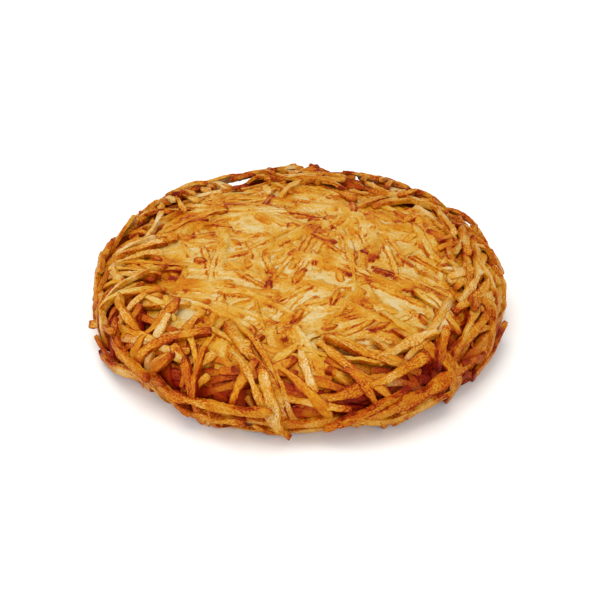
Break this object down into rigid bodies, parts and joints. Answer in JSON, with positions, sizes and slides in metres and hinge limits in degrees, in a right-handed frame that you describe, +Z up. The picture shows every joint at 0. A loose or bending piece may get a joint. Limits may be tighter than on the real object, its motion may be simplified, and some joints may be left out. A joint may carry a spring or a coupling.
{
  "type": "potato rosti",
  "caption": "Round fried cake of coarsely grated potato, domed on top and flat underneath, with a nest of browned strands round its rim.",
  "frame": {"origin": "middle of the flat spot under the cake, on the table", "axes": "+Z up through the cake, which has no front of its own: -Y is the side that the picture shows nearest"},
  "size_m": [0.1163, 0.1169, 0.0194],
  "materials": {
    "fried_potato": "golden brown fried crust, lightly glazed with fat"
  },
  "bodies": {
    "root": {"rosti": "fried_potato"}
  },
  "joints": []
}
